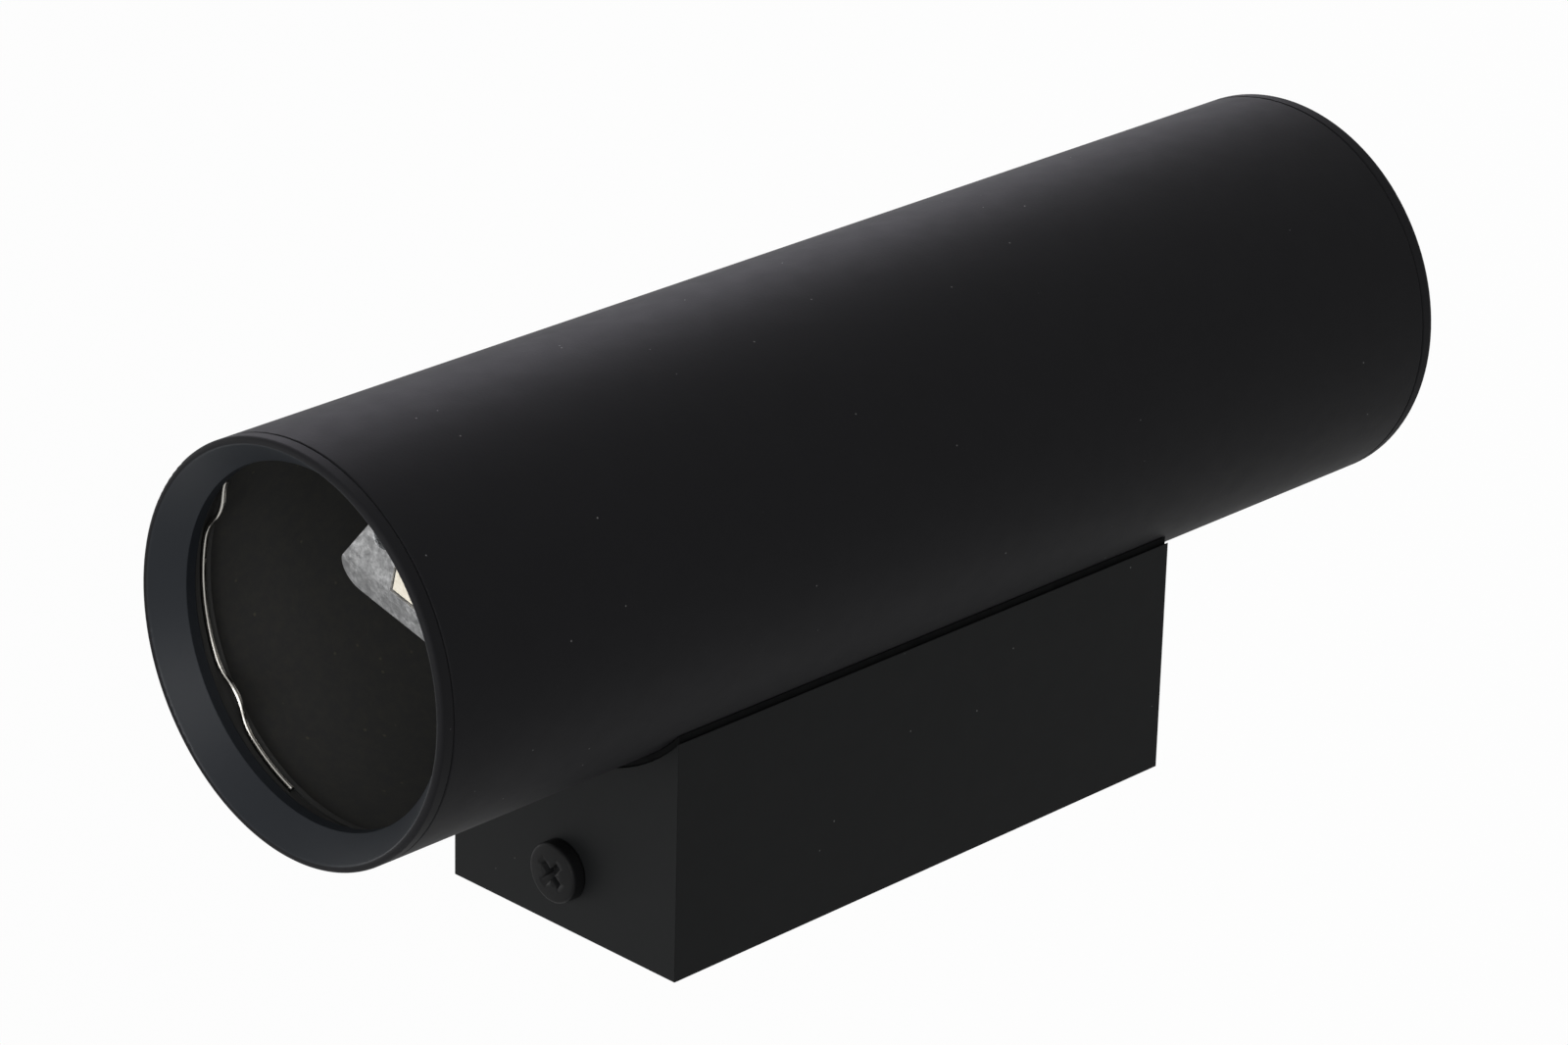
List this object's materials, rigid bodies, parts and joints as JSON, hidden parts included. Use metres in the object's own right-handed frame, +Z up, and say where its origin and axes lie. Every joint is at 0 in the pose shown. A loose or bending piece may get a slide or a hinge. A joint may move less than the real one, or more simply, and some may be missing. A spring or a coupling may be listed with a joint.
{
  "type": "tube wall light",
  "caption": "Round tube open at both ends, with a lampholder, spring clip and end ring in each, on a small box that screws to a wall bracket.",
  "frame": {"origin": "middle of the bracket's back face, which lies on the wall", "axes": "+Z up along the tube, -Y out of the wall, +X to the right when facing the wall"},
  "size_m": [0.055, 0.0806, 0.185],
  "materials": {
    "black_coat": "matt black powder coat, fine texture",
    "ring_coat": "matt black powder coat on a turned ring",
    "box_coat": "smooth satin black powder coat",
    "screw_black": "black oxide, half gloss",
    "gasket_rubber": "matt",
    "bush_rubber": "matt",
    "spring_wire": "bright drawn spring steel",
    "galvanised": "galvanised sheet with fine spangle",
    "zinc_steel": "zinc plated",
    "steatite": "matt cream steatite",
    "contact_bronze": "spring bronze",
    "brass": "machined",
    "tinned_copper": "tinned",
    "terminal_plastic": "natural polyamide",
    "brown_sleeve": "silicone sleeve",
    "blue_sleeve": "silicone sleeve",
    "earth_sleeve": "silicone sleeve, green and yellow"
  },
  "bodies": {
    "body": {"tube": "black_coat", "live_lead_top": "brown_sleeve", "live_lead_bottom": "brown_sleeve", "neutral_lead_top": "blue_sleeve", "neutral_lead_bottom": "blue_sleeve", "lead_bush": "bush_rubber", "saddle_gasket": "gasket_rubber", "wall_box": "box_coat", "rivet_nuts": "zinc_steel", "tube_screws": "zinc_steel", "tube_washers": "zinc_steel", "wall_bracket": "galvanised", "cable_bush": "bush_rubber", "terminal_block": "terminal_plastic", "terminal_inserts": "brass", "terminal_screws": "zinc_steel", "terminal_fixing": "zinc_steel", "earth_screw": "zinc_steel", "earth_washer": "zinc_steel", "earth_tag": "tinned_copper", "earth_lead": "earth_sleeve"},
    "end_ring_top": {"end_ring_top": "ring_coat"},
    "lamp_clip_top": {"lamp_clip_top": "spring_wire"},
    "lampholder_top": {"holder_strap_top": "galvanised", "holder_body_top": "steatite", "holder_cap_top": "steatite", "holder_contacts_top": "contact_bronze", "holder_screws_top": "zinc_steel"},
    "side_screw_top": {"side_screw_top": "screw_black"},
    "end_ring_bottom": {"end_ring_bottom": "ring_coat"},
    "lamp_clip_bottom": {"lamp_clip_bottom": "spring_wire"},
    "lampholder_bottom": {"holder_strap_bottom": "galvanised", "holder_body_bottom": "steatite", "holder_cap_bottom": "steatite", "holder_contacts_bottom": "contact_bronze", "holder_screws_bottom": "zinc_steel"},
    "side_screw_bottom": {"side_screw_bottom": "screw_black"}
  },
  "joints": [
    {"name": "end_ring_top_pull", "type": "slide", "parent": "body", "child": "end_ring_top", "axis": [0, 0, 1], "range_m": [0, 0.025]},
    {"name": "lamp_clip_top_release", "type": "slide", "parent": "end_ring_top", "child": "lamp_clip_top", "axis": [0, 0, -1], "range_m": [0, 0.012], "deforming": ["lamp_clip_top"]},
    {"name": "lampholder_top_push", "type": "slide", "parent": "body", "child": "lampholder_top", "axis": [0, 0, -1], "range_m": [0, 0.027], "deforming": ["live_lead_top", "neutral_lead_top"]},
    {"name": "side_screw_top_withdraw", "type": "slide", "parent": "body", "child": "side_screw_top", "axis": [0, 0, 1], "range_m": [0, 0.009]},
    {"name": "end_ring_bottom_pull", "type": "slide", "parent": "body", "child": "end_ring_bottom", "axis": [0, 0, -1], "range_m": [0, 0.025]},
    {"name": "lamp_clip_bottom_release", "type": "slide", "parent": "end_ring_bottom", "child": "lamp_clip_bottom", "axis": [0, 0, 1], "range_m": [0, 0.012], "deforming": ["lamp_clip_bottom"]},
    {"name": "lampholder_bottom_push", "type": "slide", "parent": "body", "child": "lampholder_bottom", "axis": [0, 0, 1], "range_m": [0, 0.027], "deforming": ["live_lead_bottom", "neutral_lead_bottom"]},
    {"name": "side_screw_bottom_withdraw", "type": "slide", "parent": "body", "child": "side_screw_bottom", "axis": [0, 0, -1], "range_m": [0, 0.009]}
  ]
}
